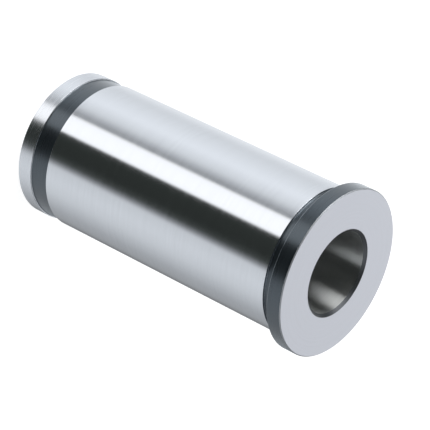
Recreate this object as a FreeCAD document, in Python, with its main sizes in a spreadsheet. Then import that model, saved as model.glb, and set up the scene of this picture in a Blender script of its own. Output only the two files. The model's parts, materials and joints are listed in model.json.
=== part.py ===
import FreeCAD, Part
import os
import Sketcher

# Straight-shank sleeve with a Morse No. 2 socket, turned from one bar of tool steel.
# The frame stands on the rear end face: origin at its centre, +Z along the axis
# to the flange and the mouth of the socket. All lengths are in millimetres.
doc = FreeCAD.newDocument("taper_collet")

SIZES = {
    # Outside, from the flange at the front to the land at the rear
    "shank_diameter": 32.0,
    "flange_diameter": 36.0,
    "flange_thickness": 3.5,
    "undercut_width": 2.5,
    "undercut_depth": 0.5,
    "rear_groove_width": 4.5,
    "rear_groove_depth": 0.3,
    "rear_land_length": 3.6,
    # Morse No. 2 socket: the gauge diameter lies in the front face, and a plain
    # relief bore of about 14.9 follows the small end of the cone
    "gauge_diameter": 17.78,
    "taper_run_per_diameter": 20.02,
    "cone_length": 57.6,
    "relief_length": 9.4,
    # End wall behind the socket, with the hole for a draw bolt
    "end_wall_thickness": 6.0,
    "draw_bolt_hole_diameter": 11.0,
    # Broken edges and groove roots
    "mouth_chamfer": 0.6,
    "flange_chamfer": 0.2,
    "end_chamfer": 0.2,
    "hole_chamfer": 0.5,
    "floor_edge_chamfer": 0.8,
    "groove_root_radius": 0.2,
}

sheet = doc.addObject("Spreadsheet::Sheet", "sizes")
for row, (name, value) in enumerate(SIZES.items(), start=1):
    sheet.set(f"A{row}", name)
    sheet.set(f"B{row}", str(value))
    sheet.setAlias(f"B{row}", name)
doc.recompute()

# Levels above the rear face and radii that several features share, as formulas over the sheet
SOCKET_FLOOR_LEVEL = "sizes.end_wall_thickness"
CONE_END_LEVEL = "sizes.end_wall_thickness + sizes.relief_length"
FRONT_LEVEL = "sizes.end_wall_thickness + sizes.relief_length + sizes.cone_length"
FLANGE_BACK_LEVEL = FRONT_LEVEL + " - sizes.flange_thickness"
UNDERCUT_BACK_LEVEL = FLANGE_BACK_LEVEL + " - sizes.undercut_width"
REAR_GROOVE_START = "sizes.rear_land_length"
REAR_GROOVE_END = "sizes.rear_land_length + sizes.rear_groove_width"
SHANK_RADIUS = "sizes.shank_diameter / 2"
FLANGE_RADIUS = "sizes.flange_diameter / 2"
UNDERCUT_RADIUS = "sizes.shank_diameter / 2 - sizes.undercut_depth"
REAR_GROOVE_RADIUS = "sizes.shank_diameter / 2 - sizes.rear_groove_depth"
GAUGE_RADIUS = "sizes.gauge_diameter / 2"
RELIEF_RADIUS = "(sizes.gauge_diameter - sizes.cone_length / sizes.taper_run_per_diameter) / 2"
HOLE_RADIUS = "sizes.draw_bolt_hole_diameter / 2"

# A sketch's own origin point, vertical axis and horizontal axis, as its constraints number them
ORIGIN_POINT = (-1, 1)
AXIS_LINE = -2
REAR_FACE_LINE = -1


def number(formula):
    """The value of a formula over the sheet, in millimetres."""
    return float(sheet.evalExpression(formula))


def origin_part(body, role):
    """One of the body's own origin planes or axes."""
    return next(feature for feature in body.Origin.OriginFeatures if feature.Role == role)


def add_profile(body, name, corners):
    """A closed outline in the body's XZ plane through corners of (radius, level) formulas.

    Each corner is held by its radius from the axis and its level above the rear face.
    """
    sketch = body.newObject("Sketcher::SketchObject", name)
    sketch.AttachmentSupport = [(origin_part(body, "XZ_Plane"), "")]
    sketch.MapMode = "FlatFace"
    points = [FreeCAD.Vector(number(radius), number(level), 0) for radius, level in corners]
    for index, point in enumerate(points):
        sketch.addGeometry(Part.LineSegment(point, points[(index + 1) % len(points)]), False)
    for index in range(len(points)):
        following = (index + 1) % len(points)
        sketch.addConstraint(Sketcher.Constraint("Coincident", index, 2, following, 1))
    for index, (radius, level) in enumerate(corners):
        hold_corner(sketch, index, "DistanceX", "radius", radius, AXIS_LINE)
        hold_corner(sketch, index, "DistanceY", "level", level, REAR_FACE_LINE)
    return sketch


def hold_corner(sketch, index, kind, word, formula, zero_line):
    """Holds one coordinate of a corner: on the zero line, or at a distance bound to the sheet."""
    if formula == "0":
        sketch.addConstraint(Sketcher.Constraint("PointOnObject", index, 1, zero_line))
        return
    distance = number(formula)
    held = sketch.addConstraint(Sketcher.Constraint(kind, *ORIGIN_POINT, index, 1, distance))
    sketch.renameConstraint(held, f"{word}_{index}")
    sketch.setExpression(f"Constraints.{word}_{index}", formula)


def turn(body, kind, name, profile):
    """Revolves a profile a full turn about Z, as added material or as a cut."""
    feature = body.newObject(kind, name)
    feature.Profile = profile
    feature.ReferenceAxis = (origin_part(body, "Z_Axis"), [""])
    feature.Angle = 360
    profile.Visibility = False
    volume_before = body.Shape.Volume if kind == "PartDesign::Groove" else 0
    doc.recompute()
    if kind == "PartDesign::Groove" and feature.Shape.Volume >= volume_before:
        raise RuntimeError(f"{name} removes no material")
    return feature


def ring_edges(feature, rings):
    """Names of the circular edges of a feature that lie at the given (radius, level) formulas."""
    wanted = [(number(radius), number(level)) for radius, level in rings]
    names = []
    for index, edge in enumerate(feature.Shape.Edges, start=1):
        if not isinstance(edge.Curve, Part.Circle):
            continue
        found = (edge.Curve.Radius, edge.Curve.Center.z)
        if any(abs(found[0] - r) < 1e-4 and abs(found[1] - z) < 1e-4 for r, z in wanted):
            names.append(f"Edge{index}")
    if len(names) < len(wanted):
        raise RuntimeError(f"{feature.Name} lacks an edge to dress")
    return names


def dress(body, kind, name, size_property, size, rings):
    """A chamfer or fillet on circular edges of the body as it stands, its size bound to the sheet."""
    base = body.Tip
    feature = body.newObject(kind, name)
    feature.Base = (base, ring_edges(base, rings))
    setattr(feature, size_property, number(size))
    feature.setExpression(size_property, size)
    base.Visibility = False
    doc.recompute()
    return feature


body = doc.addObject("PartDesign::Body", "collet_body")
body.Label = "collet_body"

# The turned blank: a plain shank with the flange at the front
blank_profile = add_profile(body, "blank_profile", [
    ("0", "0"),
    (SHANK_RADIUS, "0"),
    (SHANK_RADIUS, FLANGE_BACK_LEVEL),
    (FLANGE_RADIUS, FLANGE_BACK_LEVEL),
    (FLANGE_RADIUS, FRONT_LEVEL),
    ("0", FRONT_LEVEL),
])
turn(body, "PartDesign::Revolution", "turned_blank", blank_profile)

# Grinding undercut behind the flange, so that the wheel can run out at the shoulder
undercut_profile = add_profile(body, "undercut_profile", [
    (UNDERCUT_RADIUS, UNDERCUT_BACK_LEVEL),
    (FLANGE_RADIUS, UNDERCUT_BACK_LEVEL),
    (FLANGE_RADIUS, FLANGE_BACK_LEVEL),
    (UNDERCUT_RADIUS, FLANGE_BACK_LEVEL),
])
turn(body, "PartDesign::Groove", "flange_undercut", undercut_profile)

# Shallow groove near the rear end, left below the ground shank
rear_groove_profile = add_profile(body, "rear_groove_profile", [
    (REAR_GROOVE_RADIUS, REAR_GROOVE_START),
    (FLANGE_RADIUS, REAR_GROOVE_START),
    (FLANGE_RADIUS, REAR_GROOVE_END),
    (REAR_GROOVE_RADIUS, REAR_GROOVE_END),
])
turn(body, "PartDesign::Groove", "rear_groove", rear_groove_profile)

# Taper socket: the cone runs from the gauge diameter down to a plain relief bore,
# and a hole through the end wall lets a draw bolt pass
socket_profile = add_profile(body, "socket_profile", [
    ("0", "0"),
    (HOLE_RADIUS, "0"),
    (HOLE_RADIUS, SOCKET_FLOOR_LEVEL),
    (RELIEF_RADIUS, SOCKET_FLOOR_LEVEL),
    (RELIEF_RADIUS, CONE_END_LEVEL),
    (GAUGE_RADIUS, FRONT_LEVEL),
    ("0", FRONT_LEVEL),
])
turn(body, "PartDesign::Groove", "taper_socket", socket_profile)

# Tool-nose radius in the roots of the two outside grooves
dress(body, "PartDesign::Fillet", "undercut_roots", "Radius",
      "min(sizes.groove_root_radius; 0.8 * sizes.undercut_depth)",
      [(UNDERCUT_RADIUS, UNDERCUT_BACK_LEVEL), (UNDERCUT_RADIUS, FLANGE_BACK_LEVEL)])
dress(body, "PartDesign::Fillet", "rear_groove_roots", "Radius",
      "min(sizes.groove_root_radius; 0.8 * sizes.rear_groove_depth)",
      [(REAR_GROOVE_RADIUS, REAR_GROOVE_START), (REAR_GROOVE_RADIUS, REAR_GROOVE_END)])

# Broken edges
dress(body, "PartDesign::Chamfer", "mouth_edge", "Size", "sizes.mouth_chamfer",
      [(GAUGE_RADIUS, FRONT_LEVEL)])
dress(body, "PartDesign::Chamfer", "flange_edges", "Size", "sizes.flange_chamfer",
      [(FLANGE_RADIUS, FRONT_LEVEL), (FLANGE_RADIUS, FLANGE_BACK_LEVEL)])
dress(body, "PartDesign::Chamfer", "end_edge", "Size", "sizes.end_chamfer",
      [(SHANK_RADIUS, "0")])
dress(body, "PartDesign::Chamfer", "hole_edge", "Size", "sizes.hole_chamfer",
      [(HOLE_RADIUS, "0")])
dress(body, "PartDesign::Chamfer", "socket_floor_edge", "Size", "sizes.floor_edge_chamfer",
      [(HOLE_RADIUS, SOCKET_FLOOR_LEVEL)])

doc.recompute()
for item in doc.Objects:
    if "Invalid" in item.State or "Error" in item.State:
        raise RuntimeError(f"{item.Name} failed: {item.State}")
if body.Shape.isNull() or not body.Shape.isValid() or len(body.Shape.Solids) != 1:
    raise RuntimeError("collet_body isn't one valid solid")

os.makedirs("parts", exist_ok=True)
body.Shape.exportStep(f"parts/{body.Label}.step")
print(body.Label, "volume", round(body.Shape.Volume, 1), "box", body.Shape.BoundBox)
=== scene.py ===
import json
import math

import bpy
import numpy as np
from mathutils import Matrix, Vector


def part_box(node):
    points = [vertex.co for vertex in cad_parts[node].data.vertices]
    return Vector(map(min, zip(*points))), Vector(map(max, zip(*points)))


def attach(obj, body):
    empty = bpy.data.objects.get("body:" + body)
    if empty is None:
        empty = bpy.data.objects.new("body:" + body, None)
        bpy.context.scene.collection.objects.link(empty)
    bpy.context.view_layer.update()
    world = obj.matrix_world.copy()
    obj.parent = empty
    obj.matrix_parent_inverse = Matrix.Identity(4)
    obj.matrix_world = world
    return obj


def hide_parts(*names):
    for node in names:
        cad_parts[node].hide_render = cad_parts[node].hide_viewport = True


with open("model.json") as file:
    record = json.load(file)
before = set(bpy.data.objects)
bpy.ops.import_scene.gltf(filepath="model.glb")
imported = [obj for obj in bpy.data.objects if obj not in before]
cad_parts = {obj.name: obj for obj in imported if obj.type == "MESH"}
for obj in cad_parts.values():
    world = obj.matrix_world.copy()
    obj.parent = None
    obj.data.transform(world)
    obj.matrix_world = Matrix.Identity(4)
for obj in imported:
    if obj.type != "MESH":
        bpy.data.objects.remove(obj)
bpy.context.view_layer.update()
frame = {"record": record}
MM = 0.001


# Collet body
# One bar of hardened tool steel, turned to a flanged sleeve. The shank, the end faces and the
# taper socket are ground bright. The flange rim, the undercut behind it and the groove near the
# rear end keep the dark skin of the heat treatment, because they aren't ground.

# Sizes in millimetres. The frame gives the box and the fitted faces, and the rest are the
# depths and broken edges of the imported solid, which this surface repeats.
mounts = {mount["name"]: mount for mount in frame["record"]["mounts"]}
lowest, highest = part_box("collet_body")
FRONT_LEVEL = (highest[2] - lowest[2]) / MM
FLANGE_RADIUS = (highest[0] - lowest[0]) / 2 / MM
FLANGE_BACK_LEVEL = mounts["flange_seat"]["pos_m"][2] / MM
SHANK_RADIUS = mounts["shank"]["dims"]["r_mm"]
SHANK_MIDDLE = mounts["shank"]["pos_m"][2] / MM
SHANK_HALF = mounts["shank"]["dims"]["length_mm"] / 2
HOLE_RADIUS = mounts["draw_bolt_hole"]["dims"]["r_mm"]
SHANK_FRONT_LEVEL = SHANK_MIDDLE + SHANK_HALF
SHANK_REAR_LEVEL = SHANK_MIDDLE - SHANK_HALF
UNDERCUT_DEPTH = 0.5
REAR_GROOVE_DEPTH = 0.3
REAR_LAND_LENGTH = 3.6
GAUGE_RADIUS = 8.89
CONE_LENGTH = 57.6
TAPER_RUN_PER_DIAMETER = 20.02
END_WALL = 6.0
MOUTH_CHAMFER = 0.6
FLANGE_CHAMFER = 0.2
END_CHAMFER = 0.2
HOLE_CHAMFER = 0.5
FLOOR_EDGE_CHAMFER = 0.8
GROOVE_ROOT = 0.2
EDGE_ROUND = 0.05
BACK_EDGE_ROUND = 0.3
AROUND = 320
ARC_STEPS = 4


def round_corners(corners, radii, steps):
    """A closed outline with an arc in each corner, and its outward normals.

    For a corner that turns by an angle t, the arc of radius r touches both runs at
    r tan(t / 2) from the corner, and its centre lies r / cos(t / 2) from the corner,
    on the bisector. Its points are centre + r times a direction that swings through t.
    """
    before = corners - np.roll(corners, 1, axis=0)
    after = np.roll(corners, -1, axis=0) - corners
    before /= np.linalg.norm(before, axis=1)[:, None]
    after /= np.linalg.norm(after, axis=1)[:, None]
    turn = np.arctan2(before[:, 0] * after[:, 1] - before[:, 1] * after[:, 0],
                      (before * after).sum(axis=1))
    side = np.sign(turn)
    left = np.stack([-before[:, 1], before[:, 0]], axis=1)
    touch = corners - before * (radii * np.tan(np.abs(turn) / 2))[:, None]
    centres = touch + left * (radii * side)[:, None]
    swing = turn[:, None] * np.linspace(0, 1, steps + 1)
    outward = -left[:, None] * np.cos(swing)[..., None] + before[:, None] * np.sin(swing)[..., None]
    points = centres[:, None] + outward * (radii * side)[:, None, None]
    return points.reshape(-1, 2), outward.reshape(-1, 2)


def turned_mesh(name, outline, normals, around):
    """A ring surface: every outline point (radius, level) carried once about the Z axis.

    x = radius sin(a), y = -radius cos(a), z = level, with a from 0 to a full turn.
    """
    angle = np.linspace(0, 2 * math.pi, around, endpoint=False)
    spoke = np.stack([np.sin(angle), -np.cos(angle)], axis=1)
    rows = len(outline)

    def carried(profile):
        flat = profile[:, None, :1] * spoke[None]
        up = np.broadcast_to(profile[:, None, 1:], (rows, around, 1))
        return np.concatenate([flat, up], axis=2).reshape(-1, 3)

    row, column = np.meshgrid(np.arange(rows), np.arange(around), indexing="ij")
    next_row, next_column = (row + 1) % rows, (column + 1) % around
    quads = np.stack([row * around + column, row * around + next_column,
                      next_row * around + next_column, next_row * around + column], axis=-1)
    mesh = bpy.data.meshes.new(name)
    mesh.from_pydata(carried(outline) * MM, [], quads.reshape(-1, 4))
    mesh.polygons.foreach_set("use_smooth", np.ones(len(mesh.polygons), dtype=bool))
    mesh.normals_split_custom_set_from_vertices(carried(normals))
    mesh.validate()
    return mesh


# The outline runs up the outside from the rear face and comes back down the socket.
# Each row is radius, level, corner radius and the finish of the run that follows it. The wall
# where the shank ends in the undercut is as bright as the rear land.
GROUND, LAND, FACED, STONED, DARK, SOCKET, BORED = range(7)
undercut_radius = SHANK_RADIUS - UNDERCUT_DEPTH
groove_radius = SHANK_RADIUS - REAR_GROOVE_DEPTH
relief_radius = GAUGE_RADIUS - CONE_LENGTH / TAPER_RUN_PER_DIAMETER / 2
mouth_radius = GAUGE_RADIUS + MOUTH_CHAMFER
# The chamfer is cut from the cone's wall, so its inner edge lies on the slanting line
cone_edge_radius = GAUGE_RADIUS - MOUTH_CHAMFER / TAPER_RUN_PER_DIAMETER / 2
outline_table = np.array([
    (HOLE_RADIUS + HOLE_CHAMFER, 0, EDGE_ROUND, FACED),
    (SHANK_RADIUS - END_CHAMFER, 0, EDGE_ROUND, LAND),
    (SHANK_RADIUS, END_CHAMFER, EDGE_ROUND, LAND),
    (SHANK_RADIUS, REAR_LAND_LENGTH, EDGE_ROUND, LAND),
    (groove_radius, REAR_LAND_LENGTH, GROOVE_ROOT, DARK),
    (groove_radius, SHANK_REAR_LEVEL, GROOVE_ROOT, DARK),
    (SHANK_RADIUS, SHANK_REAR_LEVEL, EDGE_ROUND, GROUND),
    (SHANK_RADIUS, SHANK_FRONT_LEVEL, EDGE_ROUND, LAND),
    (undercut_radius, SHANK_FRONT_LEVEL, GROOVE_ROOT, DARK),
    (undercut_radius, FLANGE_BACK_LEVEL, GROOVE_ROOT, DARK),
    (FLANGE_RADIUS - FLANGE_CHAMFER, FLANGE_BACK_LEVEL, BACK_EDGE_ROUND, DARK),
    (FLANGE_RADIUS, FLANGE_BACK_LEVEL + FLANGE_CHAMFER, BACK_EDGE_ROUND, DARK),
    (FLANGE_RADIUS, FRONT_LEVEL - FLANGE_CHAMFER, EDGE_ROUND, STONED),
    (FLANGE_RADIUS - FLANGE_CHAMFER, FRONT_LEVEL, EDGE_ROUND, FACED),
    (mouth_radius, FRONT_LEVEL, EDGE_ROUND, BORED),
    (cone_edge_radius, FRONT_LEVEL - MOUTH_CHAMFER, EDGE_ROUND, SOCKET),
    (relief_radius, FRONT_LEVEL - CONE_LENGTH, EDGE_ROUND, BORED),
    (relief_radius, END_WALL, EDGE_ROUND, BORED),
    (HOLE_RADIUS + FLOOR_EDGE_CHAMFER, END_WALL, EDGE_ROUND, BORED),
    (HOLE_RADIUS, END_WALL - FLOOR_EDGE_CHAMFER, EDGE_ROUND, BORED),
    (HOLE_RADIUS, HOLE_CHAMFER, EDGE_ROUND, BORED),
])
outline, outline_normals = round_corners(outline_table[:, :2], outline_table[:, 2], ARC_STEPS)
collet_mesh = turned_mesh("turned_collet", outline, outline_normals, AROUND)
collet = bpy.data.objects.new("turned_collet", collet_mesh)
bpy.context.scene.collection.objects.link(collet)

# An arc takes the finish of the run before its corner on its first half, then the next one's
following = outline_table[:, 3].astype(int)
leading = np.roll(following, 1)
halves = [leading] * (ARC_STEPS // 2) + [following] * (ARC_STEPS - ARC_STEPS // 2 + 1)
row_finish = np.stack(halves, axis=1).reshape(-1)
collet_mesh.polygons.foreach_set("material_index", np.repeat(row_finish, AROUND))


def linear(hex_colour):
    """An sRGB hex colour as linear red, green, blue and alpha."""
    srgb = np.array([int(hex_colour[i:i + 2], 16) for i in (1, 3, 5)]) / 255
    value = np.where(srgb <= 0.04045, srgb / 12.92, ((srgb + 0.055) / 1.055) ** 2.4)
    return (*value.tolist(), 1.0)


def add(tree, kind, inputs=(), **settings):
    """Adds a node, sets its properties, and sets or links its inputs, named or numbered."""
    node = tree.nodes.new(kind)
    for name, value in settings.items():
        setattr(node, name, value)
    for socket, value in dict(inputs).items():
        if isinstance(value, bpy.types.NodeSocket):
            tree.links.new(value, node.inputs[socket])
        else:
            node.inputs[socket].default_value = value
    return node


# How far round the part a ring of grinding marks keeps its look, and the range that holds
# nearly all of the noise's values
RING_CHANGE_MM = 12
NOISE_LOW = 0.3
NOISE_HIGH = 0.7


def turned_metal(name, colour, pale, roughness, spread, anisotropic, lay_mm, depth_mm):
    """A metal finished by a wheel or tool that runs round the axis, and its shader node.

    The marks are rings: their pattern follows the distance along the outline, level plus
    radius, at the lay's pitch, and changes only slowly round the part. Real marks are finer
    than the picture shows, so the lays are drawn as coarse as they need to show. The
    anisotropy spreads reflections across the rings, along the part, and its quarter turn
    sets it square to the tangent that runs round the axis.
    """
    material = bpy.data.materials.new(name)
    material.use_nodes = True
    tree = material.node_tree
    tree.nodes.clear()
    place = add(tree, "ShaderNodeTexCoord").outputs["Object"]
    parts = add(tree, "ShaderNodeSeparateXYZ", {0: place})
    flat = add(tree, "ShaderNodeCombineXYZ", {0: parts.outputs[0], 1: parts.outputs[1]})
    radius = add(tree, "ShaderNodeVectorMath", {0: flat.outputs[0]}, operation="LENGTH")
    along = add(tree, "ShaderNodeMath", {0: parts.outputs[2], 1: radius.outputs["Value"]})
    run = add(tree, "ShaderNodeMath", {0: along.outputs[0], 1: 1 / (lay_mm * MM)},
              operation="MULTIPLY")
    slow = add(tree, "ShaderNodeVectorMath",
               {0: flat.outputs[0], "Scale": 1 / (RING_CHANGE_MM * MM)}, operation="SCALE")
    ringed = add(tree, "ShaderNodeCombineXYZ", {2: run.outputs[0]})
    rings = add(tree, "ShaderNodeVectorMath", {0: slow.outputs[0], 1: ringed.outputs[0]})
    marks = add(tree, "ShaderNodeTexNoise",
                {"Vector": rings.outputs[0], "Scale": 1.0, "Detail": 3.0, "Roughness": 0.6})
    tone = add(tree, "ShaderNodeMix",
               {0: marks.outputs["Fac"], 6: linear(colour), 7: linear(pale)}, data_type="RGBA")
    rough = add(tree, "ShaderNodeMapRange",
                {"Value": marks.outputs["Fac"], "From Min": NOISE_LOW, "From Max": NOISE_HIGH,
                 "To Min": roughness - spread, "To Max": roughness + spread})
    bump = add(tree, "ShaderNodeBump",
               {"Height": marks.outputs["Fac"], "Strength": 1.0, "Distance": depth_mm * MM})
    tangent = add(tree, "ShaderNodeTangent", direction_type="RADIAL", axis="Z")
    shader = add(tree, "ShaderNodeBsdfPrincipled",
                 {"Base Color": tone.outputs[2], "Metallic": 1.0, "Roughness": rough.outputs[0],
                  "Anisotropic": anisotropic, "Anisotropic Rotation": 0.25,
                  "Tangent": tangent.outputs[0], "Normal": bump.outputs[0]})
    add(tree, "ShaderNodeOutputMaterial", {0: shader.outputs[0]})
    return material, shader


GROUND_GREY = "#D5D8DD"
GROUND_PALE = "#E1E4E9"
# Cylindrical grinding leaves fine rings: light runs out along the shank and stays crisp round it
ground_shank, _ = turned_metal("ground_tool_steel", GROUND_GREY, GROUND_PALE, roughness=0.18,
                               spread=0.02, anisotropic=0.88, lay_mm=0.35, depth_mm=0.0005)
# The rear land passes the wheel last and is a little duller than the shank
ground_land, _ = turned_metal("rear_land_ground_steel", GROUND_GREY, GROUND_PALE, roughness=0.26,
                              spread=0.03, anisotropic=0.65, lay_mm=0.35, depth_mm=0.0005)
# A face ground on the side of the wheel is duller: its crossing marks scatter part of the light
# every way, which gives a silky even grey
ground_face, face_shader = turned_metal("side_ground_tool_steel", "#C7C9D0", "#D3D5DC",
                                        roughness=0.46, spread=0.03, anisotropic=0.0,
                                        lay_mm=0.3, depth_mm=0.0008)
face_shader.inputs["Metallic"].default_value = 0.8
# The flange's front edge is broken with a stone by hand, which leaves it satin
stoned_edge, _ = turned_metal("stoned_edge_steel", "#B4B7BB", "#BEC1C5", roughness=0.5,
                              spread=0.03, anisotropic=0.0, lay_mm=0.3, depth_mm=0.0004)
# Heat-treated skin: a thin dark oxide over turned steel, with a film of oil that shines where
# it is seen along the surface, and a faint bloom of fine oxide grains
dark_skin, skin_shader = turned_metal("heat_darkened_steel", "#353F47", "#424C54", roughness=0.3,
                                      spread=0.04, anisotropic=0.8, lay_mm=0.3, depth_mm=0.001)
SKIN_SETTINGS = {"Metallic": 0.9, "Coat Weight": 1.0, "Coat IOR": 1.5, "Coat Roughness": 0.24,
                 "Sheen Weight": 0.3, "Sheen Roughness": 0.35, "Sheen Tint": linear("#D6E8FA")}
for socket_name, setting in SKIN_SETTINGS.items():
    skin_shader.inputs[socket_name].default_value = setting
# The socket is ground by a small wheel, which leaves it duller than the shank
ground_socket, _ = turned_metal("ground_socket_steel", "#ACAEAD", "#B8BAB9", roughness=0.38,
                                spread=0.03, anisotropic=1.0, lay_mm=0.3, depth_mm=0.0008)
# The mouth chamfer, the relief bore and the bolt hole are left as turned and bored
bored_steel, _ = turned_metal("bored_steel", "#5E6063", "#6E7073", roughness=0.4, spread=0.05,
                              anisotropic=0.5, lay_mm=0.4, depth_mm=0.002)
# The slots follow the order of the finish numbers
for finish in (ground_shank, ground_land, ground_face, stoned_edge, dark_skin, ground_socket,
               bored_steel):
    collet_mesh.materials.append(finish)

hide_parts("collet_body")
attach(collet, "root")


# Floor
# A table covered with white paper, just clear of the rear face. Metal mirrors the room and not
# the table, so the reflections on the upright shank run straight from end to end.
FLOOR_HALF_MM = 4000
FLOOR_GAP_MM = 0.02
PAPER_GLOW = 1.65
GLOW_SHARE = 0.5
floor_mesh = bpy.data.meshes.new("table_top")
reach = FLOOR_HALF_MM * MM
drop = -FLOOR_GAP_MM * MM
floor_corners = [(-reach, -reach, drop), (reach, -reach, drop),
                 (reach, reach, drop), (-reach, reach, drop)]
floor_mesh.from_pydata(floor_corners, [], [(0, 1, 2, 3)])
floor = bpy.data.objects.new("table_top", floor_mesh)
bpy.context.scene.collection.objects.link(floor)
floor.visible_glossy = False
# Part of the paper's white is a glow, so that it stays white without more light on the steel
white_paper = bpy.data.materials.new("white_paper")
white_paper.use_nodes = True
paper_tree = white_paper.node_tree
paper_tree.nodes.clear()
paper_shade = add(paper_tree, "ShaderNodeBsdfDiffuse", {"Color": (1, 1, 1, 1)})
paper_glow = add(paper_tree, "ShaderNodeEmission",
                 {"Color": (1, 1, 1, 1), "Strength": PAPER_GLOW})
paper = add(paper_tree, "ShaderNodeMixShader",
            {0: 1 - GLOW_SHARE, 1: paper_glow.outputs[0], 2: paper_shade.outputs[0]})
add(paper_tree, "ShaderNodeOutputMaterial", {0: paper.outputs[0]})
floor_mesh.materials.append(white_paper)


# Room
# A white room with a tall softbox beside the camera and a black panel next to it. Their upright
# edges show as straight bands on a round shank. Strip lights above them light the socket and
# the front face, and the ceiling is a dim grey.

# Each stop is an azimuth in degrees, 0 towards the camera and positive towards +X, with the
# level that a mirror would show there, where 1 is white, and its tint.
WHITE = (1.0, 1.0, 1.0)
COOL = (0.97, 1.0, 1.03)
OLIVE = (0.93, 1.07, 0.98)
WALL_STOPS = [
    # Pale wall on the left, shaded where the softbox stands in front of it
    (-180, 0.9, COOL), (-160, 1.0, COOL), (-146, 0.95, COOL), (-125, 0.86, COOL),
    (-80, 1.06, COOL), (-60, 0.84, COOL), (-46, 0.41, COOL), (-40.5, 0.3, COOL),
    # Softbox
    (-39.5, 1.38, WHITE), (-11, 1.38, WHITE),
    # Black panel
    (-9, 0.039, OLIVE), (22, 0.031, OLIVE), (32, 0.055, OLIVE),
    # Pale wall on the right, dimmer towards the back
    (38, 0.27, COOL), (44, 0.76, COOL), (66, 0.84, COOL), (86, 0.78, COOL),
    (122, 0.48, COOL), (146, 0.4, COOL), (158, 0.22, COOL), (168, 0.27, COOL), (180, 0.6, COOL),
]
STRIP_STOPS = [
    # Strip behind the collet, which helps to light the front face
    (-180, 1.3, WHITE), (-172, 1.85, WHITE), (-164, 1.85, WHITE),
    (-157, 0.06, OLIVE), (-106, 0.06, OLIVE),
    # Bright strip on the left
    (-93, 2.2, WHITE), (-84, 7.8, WHITE), (-60, 7.2, WHITE), (-47.5, 5.6, WHITE),
    (-45, 0.04, OLIVE), (42, 0.04, OLIVE),
    # Softer strip on the right
    (45, 3.2, COOL), (62, 2.2, COOL), (80, 0.4, COOL),
    (96, 0.12, COOL), (150, 0.12, COOL),
    # The strip behind again
    (160, 0.9, WHITE), (172, 1.0, WHITE), (180, 1.3, WHITE),
]
CEILING_STOPS = [
    (-180, 0.9, COOL), (-144, 0.85, COOL), (-117, 0.7, COOL), (-100, 0.45, COOL),
    (-80, 0.65, COOL), (-60, 0.5, COOL),
    # Shadow of the gear above the camera
    (-46, 0.12, OLIVE), (-34, 0.04, OLIVE), (40, 0.04, OLIVE),
    (56, 0.3, COOL), (100, 0.5, COOL), (144, 0.8, COOL), (180, 0.9, COOL),
]
# Heights between which the walls give way to the strips, and the strips to the ceiling. A
# height is the sine of a direction's elevation.
STRIPS_START = 0.08
STRIPS_FULL = 0.24
CEILING_START = 0.45
CEILING_FULL = 0.58


def azimuth_bands(tree, share, stops):
    """A colour that changes with the share of a full turn, through stops of level and tint."""
    # The ramp's own values stay under 1, and a scale behind it brings back the levels
    brightest = max(level * max(tint) for _, level, tint in stops)
    ramp_node = add(tree, "ShaderNodeValToRGB", {0: share})
    elements = ramp_node.color_ramp.elements
    while len(elements) < len(stops):
        elements.new(1.0)
    for element, (degrees, level, tint) in zip(elements, stops):
        element.position = (degrees + 180) / 360
        element.color = (*(level / brightest * part for part in tint), 1)
    scaled = add(tree, "ShaderNodeVectorMath", {0: ramp_node.outputs[0], "Scale": brightest},
                 operation="SCALE")
    return scaled.outputs[0]


def blend(tree, first, second, value, start, end):
    """Changes from the first colour to the second as a value goes from start to end."""
    share = add(tree, "ShaderNodeMapRange", {"Value": value, "From Min": start, "From Max": end})
    mix = add(tree, "ShaderNodeMix", {0: share.outputs[0], 4: first, 5: second},
              data_type="VECTOR")
    return mix.outputs[1]


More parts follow.
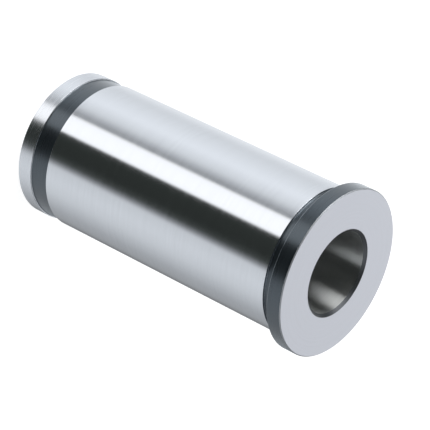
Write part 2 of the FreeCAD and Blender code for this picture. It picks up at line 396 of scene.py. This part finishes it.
world = bpy.data.worlds.new("white_room")
bpy.context.scene.world = world
world.use_nodes = True
room = world.node_tree
room.nodes.clear()
way = add(room, "ShaderNodeTexCoord").outputs["Generated"]
way_parts = add(room, "ShaderNodeSeparateXYZ", {0: way})
height = way_parts.outputs[2]
toward_camera = add(room, "ShaderNodeMath", {0: way_parts.outputs[1], 1: -1.0},
                    operation="MULTIPLY")
azimuth = add(room, "ShaderNodeMath", {0: way_parts.outputs[0], 1: toward_camera.outputs[0]},
              operation="ARCTAN2")
turn_share = add(room, "ShaderNodeMapRange",
                 {"Value": azimuth.outputs[0], "From Min": -math.pi, "From Max": math.pi})
walls = azimuth_bands(room, turn_share.outputs[0], WALL_STOPS)
strips = azimuth_bands(room, turn_share.outputs[0], STRIP_STOPS)
ceiling = azimuth_bands(room, turn_share.outputs[0], CEILING_STOPS)
lit_walls = blend(room, walls, strips, height, STRIPS_START, STRIPS_FULL)
surroundings = blend(room, lit_walls, ceiling, height, CEILING_START, CEILING_FULL)
# The camera itself sees a plain white ground, and the steel sees the room
ray = add(room, "ShaderNodeLightPath")
seen = blend(room, surroundings, WHITE, ray.outputs["Is Camera Ray"], 0.0, 1.0)
background = add(room, "ShaderNodeBackground", {"Color": seen, "Strength": 1.0})
add(room, "ShaderNodeOutputWorld", {0: background.outputs[0]})


# Camera
# A long lens above the level of the flange, looking down at the standing collet and rolled so
# that the axis runs from the upper left to the lower right of the picture.
CAMERA_FROM_AXIS_MM = 396.1
CAMERA_ABOVE_FACE_MM = 223.3
CAMERA_TILT_DEG = 57.2
CAMERA_ROLL_DEG = 116.07
CAMERA_TURN_DEG = -0.042
LENS_MM = 192.6
SENSOR_MM = 36
NEAR_LIMIT_MM = 10
FAR_LIMIT_MM = 50000
camera_data = bpy.data.cameras.new("long_lens")
camera_data.lens = LENS_MM
camera_data.sensor_width = SENSOR_MM
camera_data.clip_start = NEAR_LIMIT_MM * MM
camera_data.clip_end = FAR_LIMIT_MM * MM
camera = bpy.data.objects.new("long_lens", camera_data)
bpy.context.scene.collection.objects.link(camera)
camera_place = Matrix.Translation((0, -CAMERA_FROM_AXIS_MM * MM,
                                   (FRONT_LEVEL + CAMERA_ABOVE_FACE_MM) * MM))
camera.matrix_world = (camera_place
                       @ Matrix.Rotation(math.radians(CAMERA_TURN_DEG), 4, "Z")
                       @ Matrix.Rotation(math.radians(CAMERA_TILT_DEG), 4, "X")
                       @ Matrix.Rotation(math.radians(CAMERA_ROLL_DEG), 4, "Z"))
bpy.context.scene.camera = camera
bpy.context.scene.view_settings.view_transform = "Standard"
